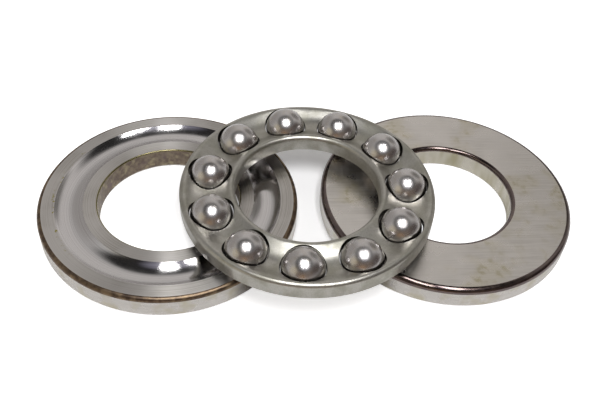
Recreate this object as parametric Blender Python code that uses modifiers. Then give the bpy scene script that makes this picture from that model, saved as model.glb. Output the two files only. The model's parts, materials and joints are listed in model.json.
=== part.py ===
"""Single-row thrust ball bearing, taken apart and laid out on a flat surface.

The housing washer lies on the left with its raceway up, the shaft washer on the right with its
raceway down, and the ball set (cage and balls) lies level across both.

Metres, +Z up. The origin is on the surface, under the middle of the layout's box. +X runs from
the housing washer to the shaft washer.
"""

import math

import bmesh
import bpy
from mathutils import Vector

MM = 0.001

# Driving dimensions, for the 50 x 95 mm size.
OUTER_RADIUS = 47.5 * MM
SHAFT_BORE_RADIUS = 25.0 * MM
HOUSING_BORE_RADIUS = 26.0 * MM
WASHER_THICKNESS = 8.5 * MM
BALL_COUNT = 11
BALL_RADIUS = 15.081 / 2 * MM
PITCH_RADIUS = (OUTER_RADIUS + SHAFT_BORE_RADIUS) / 2

# Washers: raceway groove, and rounded corners as (outer, bore) on the raceway side and on the back.
GROOVE_RADIUS = 0.54 * 2 * BALL_RADIUS
GROOVE_DEPTH = 1.7 * MM
HOUSING_RACE_CORNERS = (1.5 * MM, 0.5 * MM)
HOUSING_BACK_CORNERS = (1.0 * MM, 0.8 * MM)
SHAFT_RACE_CORNERS = (1.0 * MM, 0.5 * MM)
SHAFT_BACK_CORNERS = (2.0 * MM, 1.5 * MM)

# Cage: one pressed sheet, with a leg at each edge and a trough along the pitch circle.
CAGE_OUTER_RADIUS = 46.0 * MM
CAGE_INNER_RADIUS = 26.2 * MM
CAGE_HEIGHT = 6.2 * MM
SHEET = 1.3 * MM
CREST_RADIUS = 1.6 * MM
TROUGH_RADIUS = 11.0 * MM
TROUGH_DEPTH = 2.6 * MM
POCKET_RADIUS = BALL_RADIUS + 0.4 * MM

# Layout: washer centres lie on one line, and the ball set is a little in front of it.
GAP = 0.3 * MM  # between each ball and the washer under it
WASHER_SPACING = 104.1 * MM
CAGE_OFFSET_X = -1.6 * MM
CAGE_OFFSET_Y = -6.2 * MM
FIRST_BALL_DEG = -96.8

# Facets: the turned pieces have a point on each axis, and the cage has 8 for each pocket.
WASHER_SIDES = 64
CAGE_SIDES = 8 * BALL_COUNT
POCKET_SIDES = 24
BALL_SEGMENTS = 20
BALL_RINGS = 10

FRONT_EDGE = CAGE_OFFSET_Y - CAGE_OUTER_RADIUS
MIDDLE_Y = (FRONT_EDGE + OUTER_RADIUS) / 2
BALL_HEIGHT = WASHER_THICKNESS + GAP + BALL_RADIUS


def clear_scene():
    """Remove every object that the file holds."""
    for obj in list(bpy.data.objects):
        bpy.data.objects.remove(obj, do_unlink=True)


def collection(name):
    """Make a collection in the scene."""
    made = bpy.data.collections.new(name)
    bpy.context.scene.collection.children.link(made)
    return made


def linear(value):
    """Turn one sRGB channel, 0 to 1, into linear light."""
    if value <= 0.04045:
        return value / 12.92
    return ((value + 0.055) / 1.055) ** 2.4


def metal(name, hex_colour, roughness):
    """Make a metal from its sRGB colour and roughness."""
    channels = [int(hex_colour[i : i + 2], 16) / 255 for i in (0, 2, 4)]
    colour = [linear(channel) for channel in channels] + [1.0]
    material = bpy.data.materials.new(name)
    material.use_nodes = True
    shader = material.node_tree.nodes["Principled BSDF"]
    shader.inputs["Base Color"].default_value = colour
    shader.inputs["Metallic"].default_value = 1.0
    shader.inputs["Roughness"].default_value = roughness
    material.diffuse_color = colour
    return material


def arc(centre, radius, start_deg, end_deg, steps):
    """Points along an arc in the radius-height plane, both ends included."""
    points = []
    for step in range(steps + 1):
        angle = math.radians(start_deg + (end_deg - start_deg) * step / steps)
        across = centre[0] + radius * math.cos(angle)
        up = centre[1] + radius * math.sin(angle)
        points.append((across, up))
    return points


def washer_profile(bore, race_corners, back_corners):
    """Section of a washer with its raceway up: clockwise, from the groove over the outer side."""
    top = WASHER_THICKNESS
    rim = OUTER_RADIUS
    race_rim, race_bore = race_corners
    back_rim, back_bore = back_corners
    rise = GROOVE_RADIUS - GROOVE_DEPTH
    swing = math.degrees(math.acos(rise / GROOVE_RADIUS))
    groove_centre = (PITCH_RADIUS, top + rise)
    points = arc(groove_centre, GROOVE_RADIUS, -90 - swing, -90 + swing, 6)
    points += arc((rim - race_rim, top - race_rim), race_rim, 90, 0, 2)
    points += arc((rim - back_rim, back_rim), back_rim, 0, -90, 2)
    points += arc((bore + back_bore, back_bore), back_bore, -90, -180, 2)
    points += arc((bore + race_bore, top - race_bore), race_bore, 180, 90, 2)
    return points


def turned_over(profile):
    """The same section with its top side down, still clockwise."""
    return [(radius, WASHER_THICKNESS - height) for radius, height in reversed(profile)]


def sheet_line(inset):
    """One face of the cage's sheet, from the inner leg to the outer one, inset from the top face.

    Each crest is a quarter circle, and a flat flank runs from its top to the round of the trough.
    """
    middle = (CAGE_OUTER_RADIUS + CAGE_INNER_RADIUS) / 2
    top = CAGE_HEIGHT / 2
    reach = CAGE_OUTER_RADIUS - CREST_RADIUS - middle
    rise = TROUGH_RADIUS - TROUGH_DEPTH
    flank = math.asin(TROUGH_RADIUS / math.hypot(reach, rise)) - math.atan2(rise, reach)
    flank_deg = math.degrees(flank)
    inner_crest = (middle - reach, top - CREST_RADIUS)
    outer_crest = (middle + reach, top - CREST_RADIUS)
    trough = (middle, top + rise)
    line = [(CAGE_INNER_RADIUS + inset, -top)]
    line += arc(inner_crest, CREST_RADIUS - inset, 180, 90, 2)
    line += arc(trough, TROUGH_RADIUS + inset, -90 - flank_deg, -90 + flank_deg, 4)
    line += arc(outer_crest, CREST_RADIUS - inset, 90, 0, 2)
    line.append((CAGE_OUTER_RADIUS - inset, -top))
    return line


def cage_profile():
    """Section of the cage about its ball plane: the top face, then back along the underside."""
    underside = sheet_line(SHEET)
    return sheet_line(0.0) + underside[::-1]


def finish_mesh(obj, material):
    """Apply the modifiers, shade the round faces smooth and give the piece its material."""
    graph = bpy.context.evaluated_depsgraph_get()
    mesh = bpy.data.meshes.new_from_object(obj.evaluated_get(graph))
    obj.modifiers.clear()
    obj.data = mesh
    mesh.name = obj.name
    mesh.materials.clear()
    mesh.materials.append(material)
    mesh.shade_smooth()
    mesh.set_sharp_from_angle(angle=math.radians(30))


def turned_piece(name, profile, sides, parts):
    """Spin a closed section about the piece's own Z axis."""
    mesh = bpy.data.meshes.new(name)
    count = len(profile)
    verts = [(radius, 0.0, height) for radius, height in profile]
    edges = [(i, (i + 1) % count) for i in range(count)]
    mesh.from_pydata(verts, edges, [])
    obj = bpy.data.objects.new(name, mesh)
    parts.objects.link(obj)
    screw = obj.modifiers.new("Turn", "SCREW")
    screw.steps = sides
    screw.render_steps = sides
    screw.use_merge_vertices = True
    screw.merge_threshold = 0.00001
    return obj


def ball_direction(index):
    """Azimuth of one ball around the cage, in radians."""
    return math.radians(FIRST_BALL_DEG) + 2 * math.pi * index / BALL_COUNT


def pocket_cutter(cage_centre, helpers):
    """Eleven upright cylinders, one through each ball's place."""
    made = bmesh.new()
    for index in range(BALL_COUNT):
        angle = ball_direction(index)
        place = Vector((math.cos(angle), math.sin(angle), 0.0)) * PITCH_RADIUS
        shape = bmesh.ops.create_cone(
            made,
            cap_ends=True,
            segments=POCKET_SIDES,
            radius1=POCKET_RADIUS,
            radius2=POCKET_RADIUS,
            depth=2 * CAGE_HEIGHT,
        )
        bmesh.ops.translate(made, verts=shape["verts"], vec=place)
    mesh = bpy.data.meshes.new("pocket_cutter")
    made.to_mesh(mesh)
    made.free()
    cutter = bpy.data.objects.new("pocket_cutter", mesh)
    helpers.objects.link(cutter)
    cutter.location = cage_centre
    cutter.hide_render = True
    cutter.display_type = "WIRE"
    return cutter


def make_washer(name, profile, centre_x, material, parts):
    """One turned washer, lying on the surface."""
    washer = turned_piece(name, profile, WASHER_SIDES, parts)
    washer.location = (centre_x, -MIDDLE_Y, 0.0)
    bpy.context.view_layer.update()
    finish_mesh(washer, material)


def make_cage(centre, material, parts, helpers):
    """The pressed cage: a turned sheet with a round pocket for each ball."""
    cage = turned_piece("cage", cage_profile(), CAGE_SIDES, parts)
    cage.location = centre
    pockets = cage.modifiers.new("Pockets", "BOOLEAN")
    pockets.operation = "DIFFERENCE"
    pockets.object = pocket_cutter(centre, helpers)
    bpy.context.view_layer.update()
    finish_mesh(cage, material)
    return cage


def make_balls(cage, material, parts):
    """The balls: one shared mesh, each with its poles on the line out from the cage's axis."""
    made = bmesh.new()
    bmesh.ops.create_uvsphere(
        made,
        u_segments=BALL_SEGMENTS,
        v_segments=BALL_RINGS,
        radius=BALL_RADIUS,
    )
    mesh = bpy.data.meshes.new("ball")
    made.to_mesh(mesh)
    made.free()
    mesh.materials.append(material)
    mesh.shade_smooth()
    for index in range(BALL_COUNT):
        angle = ball_direction(index)
        ball = bpy.data.objects.new(f"ball_{index + 1:02d}", mesh)
        parts.objects.link(ball)
        ball.parent = cage
        ball.location = Vector((math.cos(angle), math.sin(angle), 0.0)) * PITCH_RADIUS
        ball.rotation_euler = (0.0, math.pi / 2, angle)


def main():
    clear_scene()
    parts = collection("thrust_ball_bearing")
    helpers = collection("cutters")
    washer_steel = metal("ground_bearing_steel", "9E9995", 0.32)
    cage_steel = metal("pressed_steel_sheet", "9A978C", 0.38)
    ball_steel = metal("polished_bearing_steel", "B4B1B0", 0.08)
    housing_profile = washer_profile(
        HOUSING_BORE_RADIUS, HOUSING_RACE_CORNERS, HOUSING_BACK_CORNERS
    )
    shaft_profile = washer_profile(SHAFT_BORE_RADIUS, SHAFT_RACE_CORNERS, SHAFT_BACK_CORNERS)
    shaft_profile = turned_over(shaft_profile)
    make_washer("housing_washer", housing_profile, -WASHER_SPACING / 2, washer_steel, parts)
    make_washer("shaft_washer", shaft_profile, WASHER_SPACING / 2, washer_steel, parts)
    cage_centre = Vector((CAGE_OFFSET_X, CAGE_OFFSET_Y - MIDDLE_Y, BALL_HEIGHT))
    cage = make_cage(cage_centre, cage_steel, parts, helpers)
    make_balls(cage, ball_steel, parts)
    bpy.context.view_layer.update()


main()
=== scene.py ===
"""Thrust ball bearing, taken apart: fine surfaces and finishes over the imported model, with a studio."""

import json
import math

import bmesh
import bpy
from mathutils import Euler, Matrix, Vector


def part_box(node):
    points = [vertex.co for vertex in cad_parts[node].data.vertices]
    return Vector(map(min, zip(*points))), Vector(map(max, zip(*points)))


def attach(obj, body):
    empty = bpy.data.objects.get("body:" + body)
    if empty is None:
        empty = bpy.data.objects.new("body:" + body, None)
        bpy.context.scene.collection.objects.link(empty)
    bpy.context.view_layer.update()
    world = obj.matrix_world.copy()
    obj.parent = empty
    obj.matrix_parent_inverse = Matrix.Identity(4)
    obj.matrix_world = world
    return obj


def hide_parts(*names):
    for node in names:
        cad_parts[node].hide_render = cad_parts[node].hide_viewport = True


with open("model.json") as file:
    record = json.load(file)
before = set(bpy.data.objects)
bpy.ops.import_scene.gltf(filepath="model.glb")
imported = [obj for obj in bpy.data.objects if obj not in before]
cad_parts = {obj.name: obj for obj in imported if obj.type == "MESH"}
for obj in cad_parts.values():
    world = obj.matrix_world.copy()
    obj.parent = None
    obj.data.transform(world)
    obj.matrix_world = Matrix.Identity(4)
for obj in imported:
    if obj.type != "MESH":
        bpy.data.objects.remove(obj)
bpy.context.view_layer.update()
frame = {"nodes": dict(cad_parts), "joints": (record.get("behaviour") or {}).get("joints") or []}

MM = 0.001

# Sections that the frame's boxes don't give.
HOUSING_BORE_RADIUS = 26.0 * MM
SHAFT_BORE_RADIUS = 25.0 * MM
GROOVE_DEPTH = 1.7 * MM
GROOVE_SHARE = 0.54  # groove radius as a share of the ball's diameter
GROOVE_EDGE = 0.12 * MM
HOUSING_RACE_CORNERS = (1.5 * MM, 0.5 * MM)  # outer, bore
HOUSING_BACK_CORNERS = (1.0 * MM, 0.8 * MM)
SHAFT_RACE_CORNERS = (1.0 * MM, 0.5 * MM)
SHAFT_BACK_CORNERS = (2.0 * MM, 1.5 * MM)
SHEET = 1.3 * MM
CAGE_INNER_RADIUS = 26.2 * MM
CREST_RADIUS = 1.6 * MM
TROUGH_RADIUS = 11.0 * MM
TROUGH_DEPTH = 2.6 * MM
SHEET_EDGE = 0.3 * MM
BOX_MARGIN = 0.001 * MM  # keeps the tops of the balls inside the frame's box after rounding
POCKET_CLEARANCE = 0.4 * MM
POCKET_LIP_CLEARANCE = 0.15 * MM  # at the underside, where the pocket draws in round the ball
POCKET_EDGE = 0.12 * MM

# How finely the surfaces are divided.
WASHER_SIDES = 288
GROOVE_STEPS = 40
CORNER_STEPS = 8
EDGE_STEPS = 3
CREST_STEPS = 10
INSIDE_CREST_STEPS = 4
POCKET_STEPS_ALONG = 28
POCKET_STEPS_ACROSS = 20
POCKET_RING_SHARES = (0.0, 0.05, 0.15, 0.3, 0.5, 0.75, 1.0)  # from a pocket's edge to its outline
POCKET_EDGE_TURNS_DEG = (30, 60, 90)
BALL_SIDES = 72
FLAT_INSET = 0.05 * MM
MERGE_DISTANCE = 0.0001 * MM
SHARP_EDGE_DEG = 40


# ---------------------------------------------------------------- places and sizes from the frame

def joint_place(name):
    """Where a joint's axis passes, in the row frame."""
    return next(Vector(joint["pos_m"]) for joint in frame["joints"] if joint["name"] == name)


def joint_axis(name):
    """Direction of a joint's axis."""
    return next(Vector(joint["axis"]) for joint in frame["joints"] if joint["name"] == name)


BALL_NAMES = sorted(name for name in frame["nodes"] if name.startswith("ball_"))
HOUSING_LOW, HOUSING_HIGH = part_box("housing_washer")
CAGE_LOW, CAGE_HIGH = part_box("cage")
BALL_LOW, BALL_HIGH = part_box(BALL_NAMES[0])
OUTER_RADIUS = (HOUSING_HIGH.x - HOUSING_LOW.x) / 2
WASHER_THICKNESS = HOUSING_HIGH.z - HOUSING_LOW.z
HOUSING_CENTRE = Vector(((HOUSING_HIGH.x + HOUSING_LOW.x) / 2, (HOUSING_HIGH.y + HOUSING_LOW.y) / 2, 0))
SHAFT_CENTRE = joint_place("shaft_washer_spin")
CAGE_CENTRE = joint_place("cage_spin")
CAGE_OUTER_RADIUS = (CAGE_HIGH.x - CAGE_LOW.x) / 2
CAGE_HEIGHT = CAGE_HIGH.z - CAGE_LOW.z
BALL_RADIUS = (BALL_HIGH.z - BALL_LOW.z) / 2 - BOX_MARGIN
PITCH_RADIUS = (joint_place("ball_01_spin") - CAGE_CENTRE).length
GROOVE_RADIUS = GROOVE_SHARE * 2 * BALL_RADIUS


# ---------------------------------------------------------------- sections

def arc(centre, radius, start_deg, end_deg, steps):
    """Points along an arc in the radius-height plane, both ends included."""
    angles = [math.radians(start_deg + (end_deg - start_deg) * i / steps) for i in range(steps + 1)]
    return [(centre[0] + radius * math.cos(a), centre[1] + radius * math.sin(a)) for a in angles]


def straight(start, end):
    """A straight run, with a point close to each end so that the shading of a flat face stays flat."""
    run = Vector(end) - Vector(start)
    step = run.normalized() * FLAT_INSET
    return [tuple(Vector(start)), tuple(Vector(start) + step), tuple(Vector(end) - step), tuple(end)]


def washer_bands(bore, race_corners, back_corners, finishes):
    """The closed section of a washer with its raceway up, clockwise, as (finish, points) bands."""
    top, rim = WASHER_THICKNESS, OUTER_RADIUS
    race_rim, race_bore = race_corners
    back_rim, back_bore = back_corners
    rise = GROOVE_RADIUS - GROOVE_DEPTH
    reach = math.sqrt((GROOVE_RADIUS + GROOVE_EDGE) ** 2 - (rise + GROOVE_EDGE) ** 2)
    tip = math.degrees(math.atan2(rise + GROOVE_EDGE, reach))
    groove = (PITCH_RADIUS, top + rise)
    inner_edge = (PITCH_RADIUS - reach, top - GROOVE_EDGE)
    outer_edge = (PITCH_RADIUS + reach, top - GROOVE_EDGE)

    def corner(centre, radius, start_deg):
        """A rounded corner, a quarter turn clockwise from its start."""
        return arc(centre, radius, start_deg, start_deg - 90, CORNER_STEPS)

    return [
        (finishes["raceway"], arc(groove, GROOVE_RADIUS, -180 + tip, -tip, GROOVE_STEPS)),
        (finishes["raceway"], arc(outer_edge, GROOVE_EDGE, 180 - tip, 90, EDGE_STEPS)),
        (finishes["land"], straight((outer_edge[0], top), (rim - race_rim, top))),
        (finishes["race_corner"], corner((rim - race_rim, top - race_rim), race_rim, 90)),
        (finishes["rim"], straight((rim, top - race_rim), (rim, back_rim))),
        (finishes["back_corner"], corner((rim - back_rim, back_rim), back_rim, 0)),
        (finishes["back"], straight((rim - back_rim, 0), (bore + back_bore, 0))),
        (finishes["back_corner"], corner((bore + back_bore, back_bore), back_bore, -90)),
        (finishes["bore"], straight((bore, back_bore), (bore, top - race_bore))),
        (finishes["bore_edge"], corner((bore + race_bore, top - race_bore), race_bore, 180)),
        (finishes["land"], straight((bore + race_bore, top), (inner_edge[0], top))),
        (finishes["raceway"], arc(inner_edge, GROOVE_EDGE, 90, tip, EDGE_STEPS)),
    ]


def turned_over(bands):
    """The same section with its raceway down, still clockwise."""
    flipped = []
    for finish, points in reversed(bands):
        flipped.append((finish, [(r, WASHER_THICKNESS - z) for r, z in reversed(points)]))
    return flipped


# ---------------------------------------------------------------- pieces

def new_piece(name, shape, materials, place):
    """Turn a bmesh into a smooth-shaded object at its own centre."""
    bmesh.ops.remove_doubles(shape, verts=shape.verts, dist=MERGE_DISTANCE)
    bmesh.ops.recalc_face_normals(shape, faces=shape.faces)
    mesh = bpy.data.meshes.new(name)
    shape.to_mesh(mesh)
    shape.free()
    for material in materials:
        mesh.materials.append(material)
    mesh.shade_smooth()
    mesh.set_sharp_from_angle(angle=math.radians(SHARP_EDGE_DEG))
    piece = bpy.data.objects.new(name, mesh)
    piece.location = place
    bpy.context.scene.collection.objects.link(piece)
    return piece


def ring_of_points(shape, radius, height, angles):
    """One circle of vertices at the given angles."""
    return [shape.verts.new((radius * math.cos(a), radius * math.sin(a), height)) for a in angles]


def join_rings(shape, rings, finish):
    """Fill the quads between successive closed rings of vertices."""
    count = len(rings[0])
    for lower, upper in zip(rings, rings[1:]):
        for k in range(count):
            after = (k + 1) % count
            face = shape.faces.new((lower[k], upper[k], upper[after], lower[after]))
            face.material_index = finish


def make_washer(name, bands, place, body):
    """A turned washer whose bands each have their own finish."""
    materials = []
    for material, _ in bands:
        if material not in materials:
            materials.append(material)
    shape = bmesh.new()
    angles = [2 * math.pi * k / WASHER_SIDES for k in range(WASHER_SIDES)]
    for material, points in bands:
        rings = [ring_of_points(shape, r, z, angles) for r, z in points]
        join_rings(shape, rings, materials.index(material))
    washer = new_piece(name, shape, materials, place)
    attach(washer, body)
    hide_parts(body)


# ---------------------------------------------------------------- the pressed cage

CAGE_MIDDLE = (CAGE_OUTER_RADIUS + CAGE_INNER_RADIUS) / 2
CREST_REACH = CAGE_OUTER_RADIUS - CREST_RADIUS - CAGE_MIDDLE
CREST_HEIGHT = CAGE_HEIGHT / 2 - CREST_RADIUS
TROUGH_HEIGHT = CAGE_HEIGHT / 2 - TROUGH_DEPTH + TROUGH_RADIUS
OUTSIDE, POCKET_WALL, INSIDE = range(3)  # the cage's finishes


def flank_angle():
    """Slope of the flank that is tangent to both the crest's arc and the trough's."""
    rise = TROUGH_HEIGHT - CREST_HEIGHT
    both = CREST_RADIUS + TROUGH_RADIUS
    return math.asin(both / math.hypot(CREST_REACH, rise)) - math.atan2(rise, CREST_REACH)


def sheet_height(radius, inset):
    """Height of the dished sheet above the ball plane: its top face, or inset below it."""
    across = min(abs(radius - CAGE_MIDDLE), CREST_REACH)
    slope = flank_angle()
    crest, trough = CREST_RADIUS - inset, TROUGH_RADIUS + inset
    crest_start = CREST_REACH - crest * math.sin(slope)
    trough_end = trough * math.sin(slope)
    if across >= crest_start:
        return CREST_HEIGHT + math.sqrt(crest**2 - (CREST_REACH - across) ** 2)
    if across <= trough_end:
        return TROUGH_HEIGHT - math.sqrt(trough**2 - across**2)
    return TROUGH_HEIGHT - trough * math.cos(slope) + (across - trough_end) * math.tan(slope)


def pocket_outline():
    """Points round one pocket's share of the dished sheet, in its own frame: x outward, y along."""
    half = math.pi / len(BALL_NAMES)
    inner, outer = CAGE_MIDDLE - CREST_REACH, CAGE_MIDDLE + CREST_REACH
    along, across = POCKET_STEPS_ALONG, POCKET_STEPS_ACROSS
    outline = [(outer, half * (2 * k / along - 1)) for k in range(along)]
    outline += [(outer + (inner - outer) * k / across, half) for k in range(across)]
    outline += [(inner, half * (1 - 2 * k / along)) for k in range(along)]
    outline += [(inner + (outer - inner) * k / across, -half) for k in range(across)]
    return [Vector((r * math.cos(a), r * math.sin(a))) for r, a in outline]


def pocket_rings():
    """Rings of points from the underside's outline, through the pocket, to the top's outline."""
    centre = Vector((PITCH_RADIUS, 0))
    outline = pocket_outline()
    rays = [(point - centre).normalized() for point in outline]

    def face_rings(inset, radius):
        """Rings over one face of the sheet, from the pocket's edge out to the outline."""
        starts = [centre + ray * (radius + POCKET_EDGE) for ray in rays]
        rings = []
        for share in POCKET_RING_SHARES:
            row = [start.lerp(end, share) for start, end in zip(starts, outline)]
            rings.append([(p.x, p.y, sheet_height(p.length, inset)) for p in row])
        return rings

    def rounded(inset, radius, side):
        """Rings round the pocket's rounded edge, from the face into the wall; side is 1 on top."""
        rings = []
        for turn in POCKET_EDGE_TURNS_DEG:
            drop = POCKET_EDGE * (1 - math.cos(math.radians(turn)))
            reach = radius + POCKET_EDGE * (1 - math.sin(math.radians(turn)))
            row = []
            for ray in rays:
                place = centre + ray * reach
                start = centre + ray * (radius + POCKET_EDGE)
                row.append((place.x, place.y, sheet_height(start.length, inset) - side * drop))
            rings.append(row)
        return rings

    lip = BALL_RADIUS + POCKET_LIP_CLEARANCE
    mouth = BALL_RADIUS + POCKET_CLEARANCE
    under = face_rings(SHEET, lip)[::-1] + rounded(SHEET, lip, -1)
    return under + rounded(0.0, mouth, 1)[::-1] + face_rings(0.0, mouth)


def leg_strips():
    """Strips of the two turned-down legs, as (finish, section): outside with its foot, then inside."""
    foot = SHEET_EDGE - CAGE_HEIGHT / 2
    strips = []
    for side in (1, -1):
        crest = (CAGE_MIDDLE + side * CREST_REACH, CREST_HEIGHT)
        wall = crest[0] + side * CREST_RADIUS
        outward, down, inward = 90 - 90 * side, 90 - 180 * side, 90 - 270 * side
        shown = arc(crest, CREST_RADIUS, 90, outward, CREST_STEPS)
        shown += arc((wall - side * SHEET_EDGE, foot), SHEET_EDGE, outward, down, EDGE_STEPS)
        shown += arc((wall - side * (SHEET - SHEET_EDGE), foot), SHEET_EDGE, down, inward, EDGE_STEPS)
        hidden = [shown[-1]] + arc(crest, CREST_RADIUS - SHEET, outward, 90, INSIDE_CREST_STEPS)
        strips += [(OUTSIDE, shown), (INSIDE, hidden)]
    return strips


def make_cage(sheet, pocket_wall, inside):
    """The one-piece cage: dished sheet with round pockets between two turned-down legs."""
    shape = bmesh.new()
    first = joint_axis("ball_01_spin")
    start = math.atan2(first.y, first.x)
    pitch = 2 * math.pi / len(BALL_NAMES)
    rings = pocket_rings()
    on_a_face = len(POCKET_RING_SHARES)
    for index in range(len(BALL_NAMES)):
        turn = Matrix.Rotation(start + index * pitch, 3, "Z")
        placed = [[shape.verts.new(turn @ Vector(point)) for point in ring] for ring in rings]
        join_rings(shape, placed[: on_a_face + 1], INSIDE)
        join_rings(shape, placed[on_a_face:-on_a_face], POCKET_WALL)
        join_rings(shape, placed[-on_a_face - 1 :], OUTSIDE)
    count = POCKET_STEPS_ALONG * len(BALL_NAMES)
    angles = [start - pitch / 2 + 2 * math.pi * k / count for k in range(count)]
    for finish, section in leg_strips():
        turned = [ring_of_points(shape, r, z, angles) for r, z in section]
        join_rings(shape, turned, finish)
    cage = new_piece("cage_pressed_sheet", shape, [sheet, pocket_wall, inside], CAGE_CENTRE)
    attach(cage, "cage")
    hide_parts("cage")


def make_balls(material):
    """One lapped ball for each pocket, on one shared mesh, at quarter turns so that no smear repeats."""
    shape = bmesh.new()
    bmesh.ops.create_uvsphere(
        shape, u_segments=BALL_SIDES, v_segments=BALL_SIDES // 2, radius=BALL_RADIUS
    )
    model = new_piece("ball_model", shape, [material], Vector())
    for index, name in enumerate(BALL_NAMES):
        ball = bpy.data.objects.new(name + "_lapped", model.data)
        bpy.context.scene.collection.objects.link(ball)
        ball.location = joint_place(name + "_spin")
        ball.rotation_euler = Euler([math.pi / 2 * (index // step % 4) for step in (1, 2, 4)])
        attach(ball, name)
        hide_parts(name)
    bpy.data.objects.remove(model)


# ---------------------------------------------------------------- materials

OIL_FILM_ROUGHNESS = 0.06
RINGS_ROTATION = 0.25  # turns the smear across the lines of turning and grinding
RESIDUE_BAND_MM = (41.0, 41.3, 42.0, 42.8)  # from the axis: starts, full, still full, ends
RESIDUE_SIDE_MM = (-35.0, -31.0)  # along X: full, ends


def linear(hex_colour):
    """An sRGB hex colour as linear RGBA."""
    channels = [int(hex_colour[i : i + 2], 16) / 255 for i in (0, 2, 4)]
    return [c / 12.92 if c <= 0.04045 else ((c + 0.055) / 1.055) ** 2.4 for c in channels] + [1.0]


def add_node(tree, kind, settings, inputs, output=0):
    """Add one shader node with its settings, set or link its inputs, and return one of its outputs.

    MapRange turns its input 0 from the range between 1 and 2 to the range between 3 and 4.
    """
    made = tree.nodes.new("ShaderNode" + kind)
    for name, value in settings.items():
        setattr(made, name, value)
    for name, value in inputs.items():
        if isinstance(value, bpy.types.NodeSocket):
            tree.links.new(value, made.inputs[name])
        else:
            made.inputs[name].default_value = linear(value) if isinstance(value, str) else value
    return made.outputs[output]


def new_metal(name, anisotropic=0.0, oil_film=0.0):
    """A metal to add pattern to: the material, its nodes, its shader and the place on the piece in mm."""
    material = bpy.data.materials.new(name)
    material.use_nodes = True
    tree = material.node_tree
    shader = tree.nodes["Principled BSDF"]
    shader.inputs["Metallic"].default_value = 1.0
    shader.inputs["Coat Weight"].default_value = oil_film
    shader.inputs["Coat Roughness"].default_value = OIL_FILM_ROUGHNESS
    if anisotropic:
        around = add_node(tree, "Tangent", {"direction_type": "RADIAL", "axis": "Z"}, {})
        tree.links.new(around, shader.inputs["Tangent"])
        shader.inputs["Anisotropic"].default_value = anisotropic
        shader.inputs["Anisotropic Rotation"].default_value = RINGS_ROTATION
    place = add_node(tree, "TexCoord", {}, {}, "Object")
    place_mm = add_node(tree, "VectorMath", {"operation": "SCALE"}, {0: place, "Scale": 1 / MM})
    return material, tree, shader, place_mm


def patches(tree, place, size_mm, limits, amounts, detail=3.0, stretch=(1.0, 1.0, 1.0)):
    """Cloudy patches size_mm across, longer where stretch is over 1.

    Where the cloud passes from the first limit to the second, the first amount becomes the second.
    """
    squeeze = [1.0 / (size_mm * s) for s in stretch]
    vector = add_node(tree, "VectorMath", {"operation": "MULTIPLY"}, {0: place, 1: squeeze})
    cloud = add_node(tree, "TexNoise", {}, {"Vector": vector, "Scale": 1.0, "Detail": detail}, "Fac")
    return add_node(
        tree,
        "MapRange",
        {"interpolation_type": "SMOOTHSTEP"},
        {0: cloud, 1: limits[0], 2: limits[1], 3: amounts[0], 4: amounts[1]},
    )


def from_axis(tree, place):
    """Distance from the piece's own axis, in mm."""
    flat = add_node(tree, "VectorMath", {"operation": "MULTIPLY"}, {0: place, 1: (1, 1, 0)})
    return add_node(tree, "VectorMath", {"operation": "LENGTH"}, {0: flat}, "Value")


def ring_lines(tree, place, pitch_mm, most):
    """The lines of turning and grinding, which change only with the distance from the axis."""
    cloud = add_node(
        tree,
        "TexNoise",
        {"noise_dimensions": "1D"},
        {"W": from_axis(tree, place), "Scale": 1.0 / pitch_mm, "Detail": 2.0},
        "Fac",
    )
    return add_node(
        tree, "MapRange", {"interpolation_type": "SMOOTHSTEP"}, {0: cloud, 1: 0.3, 2: 0.7, 3: 0.0, 4: most}
    )


def layered(tree, base, *layers):
    """A base colour under layers of (share, colour), each laid over the last."""
    for share, colour in layers:
        base = add_node(tree, "Mix", {"data_type": "RGBA"}, {0: share, 6: base, 7: colour}, 2)
    return base


def finish_with(tree, shader, colour, roughness, height=None, depth_mm=0.0):
    """Give a shader its colour, its roughness as a number or a pattern, and its relief."""
    tree.links.new(colour, shader.inputs["Base Color"])
    if isinstance(roughness, float):
        shader.inputs["Roughness"].default_value = roughness
    else:
        tree.links.new(roughness, shader.inputs["Roughness"])
    if height:
        normal = add_node(tree, "Bump", {}, {"Height": height, "Distance": depth_mm * MM})
        tree.links.new(normal, shader.inputs["Normal"])


def surface_ground_steel():
    """Bearing steel faced on a surface grinder: straight fine lines along X, with straw oil stains."""
    material, tree, shader, place = new_metal("surface_ground_bearing_steel")
    clearer = patches(tree, place, 16.0, (0.4, 0.65), (0.25, 1.0), detail=2.0)
    # The wheel's lines are about 0.05 mm apart, drawn 0.35 mm apart so that they show.
    lines = patches(tree, place, 0.35, (0.35, 0.65), (0.0, clearer), detail=2.0, stretch=(40.0, 1.0, 1.0))
    film = patches(tree, place, 14.0, (0.5, 0.72), (0.0, 0.5))
    spots = patches(tree, place, 2.6, (0.46, 0.7), (0.0, film), detail=4.0)
    base = layered(tree, "D9D5D0", (lines, "CAC6C0"), (film, "CAC3AE"), (spots, "A0986E"))
    roughness = patches(tree, place, 8.0, (0.3, 0.7), (0.26, 0.34))
    finish_with(tree, shader, base, roughness, lines, depth_mm=0.004)
    return material


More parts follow.
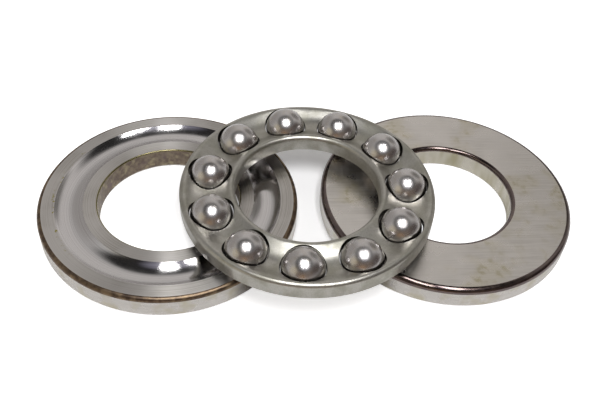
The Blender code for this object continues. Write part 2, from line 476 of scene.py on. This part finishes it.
def ground_land():
    """Narrow flats beside the raceway, ground as the washer turns: fine rings that streak the light.

    Specks of dried yellow oil lie in a narrow band outside the raceway, on one side.
    """
    material, tree, shader, place = new_metal("ring_ground_bearing_steel", anisotropic=0.9)
    clearer = patches(tree, place, 14.0, (0.4, 0.65), (0.3, 1.0), detail=2.0)
    # The rings are about 0.05 mm apart, drawn 0.3 mm apart so that they show.
    lines = ring_lines(tree, place, 0.3, clearer)
    starts, full, still_full, ends = RESIDUE_BAND_MM
    outward = from_axis(tree, place)
    rising = add_node(tree, "MapRange", {}, {0: outward, 1: starts, 2: full})
    in_band = add_node(tree, "MapRange", {}, {0: outward, 1: still_full, 2: ends, 3: rising, 4: 0.0})
    residue = patches(tree, place, 1.8, (0.55, 0.63), (0.0, in_band))
    along_x = add_node(tree, "SeparateXYZ", {}, {0: place})
    side_full, side_ends = RESIDUE_SIDE_MM
    on_one_side = {0: along_x, 1: side_full, 2: side_ends, 3: residue, 4: 0.0}
    residue = add_node(tree, "MapRange", {}, on_one_side)
    base = layered(tree, "CECBC8", (lines, "AAA69F"), (residue, "9A9140"))
    finish_with(tree, shader, base, 0.32, lines, depth_mm=0.006)
    return material


def ground_rim():
    """Outer wall and plain corners, cylindrically ground: pale, under a thin straw film of oil."""
    material, tree, shader, place = new_metal("cylindrically_ground_bearing_steel")
    film = patches(tree, place, 6.0, (0.42, 0.68), (0.0, 0.7), detail=4.0)
    # The lines round the wall are about 0.05 mm apart, drawn 0.3 mm apart so that they show.
    lines = patches(tree, place, 0.3, (0.35, 0.65), (0.0, 0.3), detail=2.0, stretch=(30.0, 30.0, 1.0))
    base = layered(tree, "CDCAC6", (film, "BBB49A"), (lines, "B3ADA5"))
    roughness = patches(tree, place, 6.0, (0.3, 0.7), (0.24, 0.34), detail=4.0)
    finish_with(tree, shader, base, roughness, lines, depth_mm=0.004)
    return material


def lapped_raceway():
    """Raceway honed and lapped: a near mirror whose fine rings smear what it reflects."""
    material, tree, shader, place = new_metal("lapped_raceway_steel", anisotropic=0.95)
    # The honing lines are under 0.05 mm apart, drawn 0.45 mm apart so that they show.
    lines = ring_lines(tree, place, 0.45, 0.5)
    haze = patches(tree, place, 5.0, (0.3, 0.75), (0.12, 0.16))
    base = layered(tree, "D2D0D0", (lines, "BFBCBB"))
    finish_with(tree, shader, base, haze, lines, depth_mm=0.002)
    return material


def corner_scale(name, first, second, roughness, oil_film=0.0):
    """Rounded corner left as hardened: dark smooth scale, which glints where a film of oil lies on it."""
    material, tree, shader, place = new_metal(name, oil_film=oil_film)
    mottle = patches(tree, place, 2.5, (0.35, 0.7), (0.0, 1.0), detail=4.0)
    dulled = patches(tree, place, 2.5, (0.3, 0.7), (roughness - 0.04, roughness + 0.05), detail=4.0)
    finish_with(tree, shader, layered(tree, first, (mottle, second)), dulled)
    return material


def stained_bore():
    """Rough-turned bore wall under dried oil: brown, mottled with straw-coloured patches."""
    material, tree, shader, place = new_metal("oil_stained_turned_bore")
    mottle = patches(tree, place, 1.8, (0.35, 0.7), (0.0, 1.0), detail=5.0)
    violet = patches(tree, place, 6.0, (0.5, 0.7), (0.0, 0.6), detail=2.0)
    straw = patches(tree, place, 2.6, (0.52, 0.7), (0.0, 0.5), detail=4.0)
    base = layered(tree, "71645B", (mottle, "968A78"), (violet, "7A6A6E"), (straw, "BBB190"))
    roughness = patches(tree, place, 1.8, (0.35, 0.7), (0.3, 0.5), detail=5.0)
    finish_with(tree, shader, base, roughness, mottle, depth_mm=0.03)
    return material


def ground_bore():
    """Ground bore wall: pale steel with an olive film of oil that hangs in upright patches."""
    material, tree, shader, place = new_metal("ground_bore_steel")
    film = patches(tree, place, 6.0, (0.35, 0.7), (0.0, 1.0), detail=2.0, stretch=(1.0, 1.0, 4.0))
    roughness = patches(tree, place, 6.0, (0.3, 0.7), (0.26, 0.36), detail=2.0, stretch=(1.0, 1.0, 4.0))
    finish_with(tree, shader, layered(tree, "C9C5B9", (film, "ABA58A")), roughness)
    return material


def pressed_sheet():
    """Cold-rolled steel sheet, pressed and tumbled: satin grey, with fine dents and dulled patches."""
    material, tree, shader, place = new_metal("pressed_and_tumbled_steel_sheet")
    cloud = patches(tree, place, 5.0, (0.35, 0.7), (0.0, 1.0), detail=4.0)
    grain = patches(tree, place, 0.5, (0.4, 0.75), (0.0, 0.4))
    base = layered(tree, "B8B6AF", (cloud, "A3A196"), (grain, "89867C"))
    roughness = patches(tree, place, 5.0, (0.3, 0.7), (0.32, 0.42), detail=4.0)
    finish_with(tree, shader, base, roughness, grain, depth_mm=0.012)
    return material


def underside_painted_shade_sheet():
    """Hidden inside of the pressed sheet: grey steel painted dark, darker still in patches, as the shade
    under the cage, under a film of oil.
    """
    material, tree, shader, place = new_metal("pressed_sheet_inside_painted_shade", oil_film=0.5)
    # Painted shade: the dark grey and the darker oil patches stand for the shade under the cage, which the
    # washer's face reflects.
    oil = patches(tree, place, 3.0, (0.35, 0.65), (0.0, 1.0), detail=4.0)
    finish_with(tree, shader, layered(tree, "5A564E", (oil, "3E3B35")), 0.4)
    return material


def sheared_edge_painted_shade():
    """Wall of a punched pocket: torn grey steel, painted near-black as the shade in the gap round the
    ball.
    """
    material, tree, shader, place = new_metal("sheared_pocket_wall_painted_shade")
    tear = patches(tree, place, 0.6, (0.35, 0.65), (0.0, 1.0), detail=4.0, stretch=(1.0, 1.0, 3.0))
    # Painted shade: the dark wall colour stands for the shadow in the gap round the ball.
    finish_with(tree, shader, layered(tree, "33302B", (tear, "4C4841")), 0.45, tear, depth_mm=0.02)
    return material


def lapped_ball_steel():
    """Chromium steel ball, lapped to a mirror and dulled a little by a smeared film of oil."""
    material, tree, shader, place = new_metal("lapped_chromium_steel", oil_film=0.5)
    film = patches(tree, place, 2.2, (0.45, 0.75), (0.0, 0.5), detail=4.0)
    roughness = patches(tree, place, 5.0, (0.3, 0.7), (0.25, 0.29), detail=1.0)
    finish_with(tree, shader, layered(tree, "C6C3C2", (film, "B9B0A2")), roughness)
    return material


# ---------------------------------------------------------------- studio

CAMERA_AIM = Vector((-2.7, 7.95, 0.0)) * MM
CAMERA_DISTANCE = 299.0 * MM
CAMERA_PITCH_DEG = 45.387
CAMERA_HEADING_DEG = 6.96
CAMERA_ROLL_DEG = 3.924
LENS_MM = 46.22
SENSOR_MM = 36.0
CLIP_NEAR = 10.0 * MM
CLIP_FAR = 100.0
# The softboxes, one on each side of their middle, and the table, all in metres.
SOFTBOX_MIDDLE = Vector((0.0425, -0.28, 0.8))
SOFTBOX_APART = 0.26
SOFTBOX_WIDTH = 0.158
SOFTBOX_DEPTH = 0.6
SOFTBOX_RADIANCE = 9.4
TABLE_HALF_SIDE = 6.0
# The table's glow, which takes it past pure white where the camera sees it, and how much of it is left in
# a painted shadow behind the cage.
TABLE_GLOW = 0.65
SHADOW_GLOW = 0.2
SHADOW_RADIUS = 48.0 * MM
SHADOW_EDGE = 6.0 * MM
SHADOW_SHIFT = 18.0 * MM  # from the cage's centre, away from the camera
ROOM_GREY = "C4C2C0"
ROOM_SEEN = "F0F0F0"  # where the camera looks past the table
ROOM_TINTS = (
    # azimuth, elevation, inner and outer half-angle in degrees, colour
    (150, 35, 20, 50, "D2CECB"),
    (135, 26, 8, 24, "7E7B77"),
    (-130, 15, 15, 45, "A8A4A1"),
    (0, 10, 45, 75, "7A6C61"),
    (70, 12, 15, 42, "564D4A"),
    (-62, 22, 8, 26, "D6CDB8"),
    (-8, 3, 8, 22, "A88868"),
    (0, 77, 36, 50, "2C2B2B"),
    (6, 68, 12, 28, "908E9C"),
)


def make_camera():
    """Camera looking down at the layout from the front, turned a little to the right and rolled."""
    data = bpy.data.cameras.new("studio_camera")
    data.lens = LENS_MM
    data.sensor_width = SENSOR_MM
    data.clip_start = CLIP_NEAR
    data.clip_end = CLIP_FAR
    camera = bpy.data.objects.new("studio_camera", data)
    bpy.context.scene.collection.objects.link(camera)
    tilt = Euler((math.radians(90 - CAMERA_PITCH_DEG), 0, -math.radians(CAMERA_HEADING_DEG)))
    turn = tilt.to_matrix() @ Matrix.Rotation(math.radians(CAMERA_ROLL_DEG), 3, "Z")
    camera.matrix_world = turn.to_4x4()
    camera.location = CAMERA_AIM - turn @ Vector((0, 0, -CAMERA_DISTANCE))
    bpy.context.scene.camera = camera


def direction(azimuth_deg, elevation_deg):
    """Unit vector by compass: azimuth 0 is behind the camera (-Y), 90 is +X."""
    azimuth, elevation = math.radians(azimuth_deg), math.radians(elevation_deg)
    flat = math.cos(elevation)
    return Vector((math.sin(azimuth) * flat, -math.cos(azimuth) * flat, math.sin(elevation)))


def make_room():
    """Grey studio round the table: dimmer behind the camera and to the right, dark overhead."""
    world = bpy.data.worlds.new("studio_room")
    bpy.context.scene.world = world
    world.use_nodes = True
    tree = world.node_tree
    look = add_node(tree, "TexCoord", {}, {}, "Generated")
    colour = ROOM_GREY
    for azimuth, elevation, inner, outer, tint in ROOM_TINTS:
        centre = direction(azimuth, elevation)
        towards = add_node(tree, "VectorMath", {"operation": "DOT_PRODUCT"}, {0: look, 1: centre}, "Value")
        edges = {0: towards, 1: math.cos(math.radians(outer)), 2: math.cos(math.radians(inner))}
        share = add_node(tree, "MapRange", {"interpolation_type": "SMOOTHSTEP"}, edges)
        colour = layered(tree, colour, (share, tint))
    seen = add_node(tree, "LightPath", {}, {}, "Is Camera Ray")
    colour = layered(tree, colour, (seen, ROOM_SEEN))
    tree.links.new(colour, tree.nodes["Background"].inputs["Color"])


def make_softbox(place):
    """An oval softbox of even brightness that faces straight down."""
    data = bpy.data.lights.new("softbox", "AREA")
    data.shape = "ELLIPSE"
    data.size = SOFTBOX_WIDTH
    data.size_y = SOFTBOX_DEPTH
    data.energy = SOFTBOX_RADIANCE * math.pi * SOFTBOX_WIDTH * SOFTBOX_DEPTH
    light = bpy.data.objects.new("softbox", data)
    light.location = place
    bpy.context.scene.collection.objects.link(light)


def make_table():
    """A white table that glows past pure white where the camera sees it, except in a round patch of
    painted shadow under and behind the cage.
    """
    shape = bmesh.new()
    bmesh.ops.create_grid(shape, x_segments=1, y_segments=1, size=TABLE_HALF_SIDE)
    mesh = bpy.data.meshes.new("white_table")
    shape.to_mesh(mesh)
    shape.free()
    table = bpy.data.objects.new("white_table", mesh)
    bpy.context.scene.collection.objects.link(table)
    material = bpy.data.materials.new("matt_white_paper")
    material.use_nodes = True
    tree = material.node_tree
    shader = tree.nodes["Principled BSDF"]
    shader.inputs["Base Color"].default_value = linear("F2F2F2")
    shader.inputs["Roughness"].default_value = 1.0
    shader.inputs["Specular IOR Level"].default_value = 0.0
    shader.inputs["Emission Color"].default_value = linear("FFFFFF")
    place = add_node(tree, "TexCoord", {}, {}, "Object")
    # Painted shadow: round this centre the glow drops to SHADOW_GLOW, standing for the shade that the cage
    # casts.
    in_shadow = Vector((CAGE_CENTRE.x, CAGE_CENTRE.y + SHADOW_SHIFT, 0))
    apart = add_node(tree, "VectorMath", {"operation": "DISTANCE"}, {0: place, 1: in_shadow}, "Value")
    inner, outer = SHADOW_RADIUS - SHADOW_EDGE, SHADOW_RADIUS + SHADOW_EDGE
    edge = {0: apart, 1: inner, 2: outer, 3: SHADOW_GLOW, 4: TABLE_GLOW}
    glow = add_node(tree, "MapRange", {"interpolation_type": "SMOOTHSTEP"}, edge)
    seen = add_node(tree, "LightPath", {}, {}, "Is Camera Ray")
    glow = add_node(tree, "Math", {"operation": "MULTIPLY"}, {0: seen, 1: glow})
    tree.links.new(glow, shader.inputs["Emission Strength"])
    mesh.materials.append(material)


def make_studio():
    """White table, two softboxes side by side overhead, and the room."""
    make_table()
    for side in (-0.5, 0.5):
        make_softbox(SOFTBOX_MIDDLE + Vector((side * SOFTBOX_APART, 0, 0)))
    make_room()
    bpy.context.scene.view_settings.view_transform = "Standard"


def main():
    """Make the pieces, their finishes and the studio."""
    rim = ground_rim()
    finishes = {
        "raceway": lapped_raceway(),
        "land": ground_land(),
        "race_corner": corner_scale("olive_hardening_scale", "5E5045", "87755F", 0.36),
        "rim": rim,
        "back_corner": rim,
        "back": surface_ground_steel(),
        "bore_edge": corner_scale("straw_tempered_edge", "8C845F", "787050", 0.22, 0.3),
        "bore": stained_bore(),
    }
    housing_bands = washer_bands(
        HOUSING_BORE_RADIUS, HOUSING_RACE_CORNERS, HOUSING_BACK_CORNERS, finishes
    )
    make_washer("housing_washer_ground", housing_bands, HOUSING_CENTRE, "housing_washer")
    finishes["race_corner"] = finishes["bore_edge"] = rim
    finishes["back_corner"] = corner_scale("violet_brown_hardening_scale", "5E504F", "6C5E57", 0.18, 0.8)
    finishes["bore"] = ground_bore()
    shaft_bands = turned_over(
        washer_bands(SHAFT_BORE_RADIUS, SHAFT_RACE_CORNERS, SHAFT_BACK_CORNERS, finishes)
    )
    make_washer("shaft_washer_ground", shaft_bands, SHAFT_CENTRE, "shaft_washer")
    make_cage(pressed_sheet(), sheared_edge_painted_shade(), underside_painted_shade_sheet())
    make_balls(lapped_ball_steel())
    make_camera()
    make_studio()


main()
